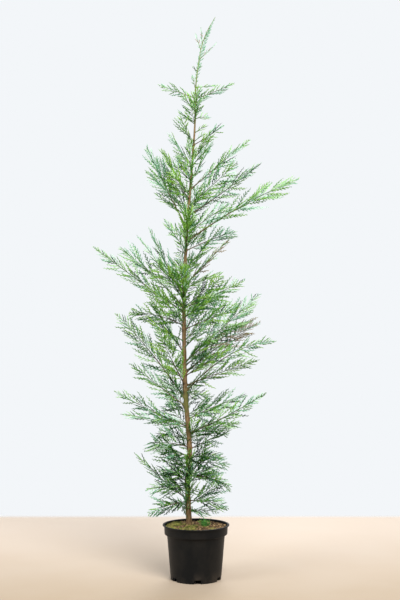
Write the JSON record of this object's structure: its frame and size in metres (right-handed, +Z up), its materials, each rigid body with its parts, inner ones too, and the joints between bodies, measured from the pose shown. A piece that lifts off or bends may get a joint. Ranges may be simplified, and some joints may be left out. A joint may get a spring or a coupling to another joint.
{
  "type": "potted leyland cypress",
  "caption": "Slim young leyland cypress hedging tree with open feathery sprays on upswept boughs, standing in a round black nursery pot.",
  "frame": {"origin": "centre of the pot's flat underside", "axes": "+Z up along the plant, -Y the front, +X to the right as seen from the front"},
  "size_m": [0.7918, 0.4897, 2.2054],
  "materials": {
    "bark": "thin reddish-brown bark, flaking in fine lengthwise strips",
    "pot_plastic": "moulded black polypropylene, satin",
    "compost": "moist bark-based potting compost with a little moss",
    "foliage_fresh": "fresh yellow-green scale leaves",
    "foliage_green": "mid to dark green scale leaves",
    "foliage_glaucous": "grey-green scale leaves, with a bloom on their undersides"
  },
  "bodies": {
    "root": {"compost": "compost", "limb_fan_left": "bark", "limb_long_left_1": "bark", "limb_long_left_2": "bark", "limb_long_right_1": "bark", "limb_long_right_2": "bark", "limb_long_right_3": "bark", "limb_long_right_4": "bark", "limb_long_right_5": "bark", "limb_tall_left": "bark", "pot": "pot_plastic", "spray_arching_left_front": "foliage_green", "spray_crown_front": "foliage_green", "spray_crown_left": "foliage_glaucous", "spray_crown_right": "foliage_fresh", "spray_fan_left": "foliage_fresh", "spray_fan_left_top": "foliage_green", "spray_long_left_1": "foliage_glaucous", "spray_long_left_2": "foliage_green", "spray_long_left_3": "foliage_green", "spray_long_left_4": "foliage_green", "spray_long_right_1": "foliage_glaucous", "spray_long_right_2": "foliage_glaucous", "spray_long_right_3": "foliage_green", "spray_long_right_4": "foliage_fresh", "spray_long_right_5": "foliage_glaucous", "spray_low_back": "foliage_glaucous", "spray_low_left_front": "foliage_fresh", "spray_low_right": "foliage_fresh", "spray_low_right_back": "foliage_green", "spray_low_right_long": "foliage_glaucous", "spray_lower_back": "foliage_glaucous", "spray_lower_left_front": "foliage_glaucous", "spray_lower_right": "foliage_fresh", "spray_lower_right_fan": "foliage_green", "spray_lower_right_front": "foliage_fresh", "spray_middle_front_1": "foliage_glaucous", "spray_middle_front_2": "foliage_glaucous", "spray_middle_left_back": "foliage_glaucous", "spray_middle_right": "foliage_fresh", "spray_middle_right_back": "foliage_fresh", "spray_shoulder_back": "foliage_fresh", "spray_shoulder_left_front": "foliage_fresh", "spray_skirt_back": "foliage_green", "spray_skirt_front": "foliage_fresh", "spray_skirt_left": "foliage_green", "spray_skirt_left_low": "foliage_glaucous", "spray_skirt_right_front": "foliage_fresh", "spray_skirt_right_low": "foliage_glaucous", "spray_steep_right": "foliage_green", "spray_tall_left": "foliage_green", "spray_top_left": "foliage_fresh", "spray_top_right": "foliage_green", "spray_upper_left": "foliage_green", "spray_upper_left_front": "foliage_glaucous", "spray_upper_right": "foliage_fresh", "spray_waist_back": "foliage_green", "spray_waist_left_back": "foliage_glaucous", "spray_waist_right_front": "foliage_fresh", "trunk": "bark"}
  },
  "joints": []
}
